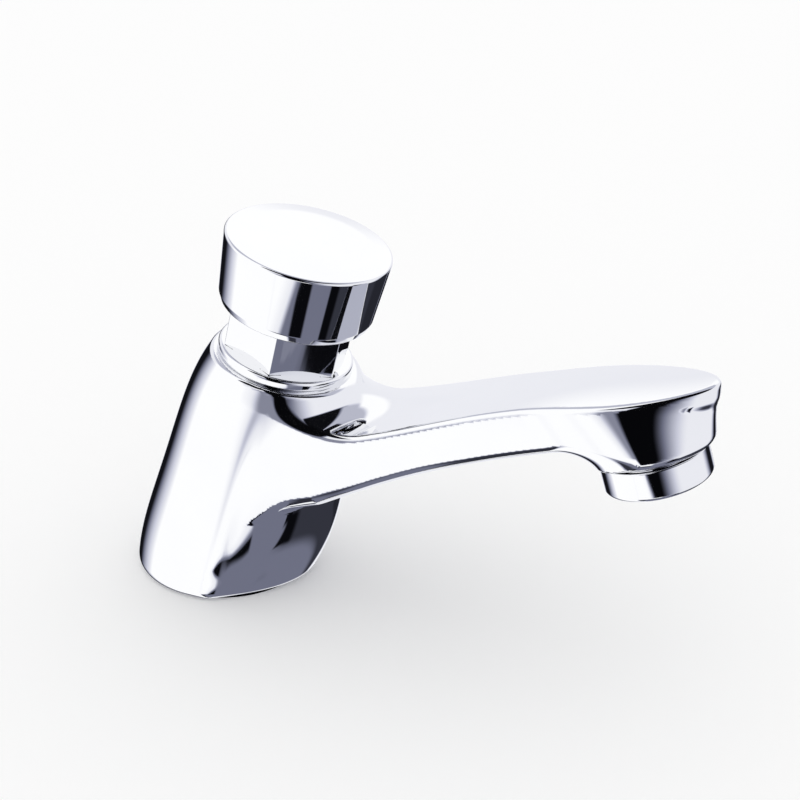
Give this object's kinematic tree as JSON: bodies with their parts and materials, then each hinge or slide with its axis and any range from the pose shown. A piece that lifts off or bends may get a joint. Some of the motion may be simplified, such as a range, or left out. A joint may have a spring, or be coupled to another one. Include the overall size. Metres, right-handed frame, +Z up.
{
  "type": "self-closing basin tap",
  "caption": "Deck-mounted self-closing basin tap: leaning cast column, rising flat spout with aerator, bonnet nut and round push cap.",
  "frame": {"origin": "centre of the round base, on the basin's deck, on the axis of the threaded shank", "axes": "+Z up from the deck, +X along the spout towards its outlet, +Y to the left of the spout seen from the user"},
  "size_m": [0.1542, 0.0486, 0.1499],
  "materials": {
    "chrome": "polished chrome plate on brass",
    "brass": "machined",
    "stainless": "plain stainless",
    "rubber": "matt black",
    "acetal": "white acetal"
  },
  "bodies": {
    "tap": {"tap_body": "chrome", "bonnet_nut": "chrome", "aerator_housing": "chrome", "bonnet_o_ring": "rubber", "rod_seal": "rubber", "seat_o_ring": "rubber", "aerator_washer": "rubber", "shank_o_ring": "rubber", "base_gasket": "rubber", "deck_rubber_washer": "rubber", "rod_guide_bush": "acetal", "cartridge_sleeve": "acetal", "aerator_insert": "acetal", "flow_regulator": "acetal", "inlet_strainer": "acetal", "seat_ring": "brass", "lock_nut": "brass", "inlet_shank": "brass", "return_spring": "stainless", "deck_metal_washer": "stainless", "aerator_mesh": "stainless"},
    "piston_set": {"piston": "brass", "piston_lip_seal": "rubber"},
    "push_set": {"push_rod": "brass", "push_cap": "chrome", "cap_lock_nut": "brass", "spring_seat_washer": "brass", "valve_disc": "rubber", "valve_backing_washer": "brass", "valve_nut": "brass", "piston_circlip": "stainless"}
  },
  "joints": [
    {"name": "press", "type": "slide", "parent": "tap", "child": "piston_set", "axis": [-0.225, 0, -0.9744], "range_m": [0, 0.007], "stiffness_N_per_m": 1500, "springref_m": -0.01, "deforming": ["return_spring"]},
    {"name": "cap_turn", "type": "hinge", "parent": "piston_set", "child": "push_set", "pos_m": [0.02455, 0, 0.08769], "axis": [0.225, 0, 0.9744], "continuous": true}
  ]
}
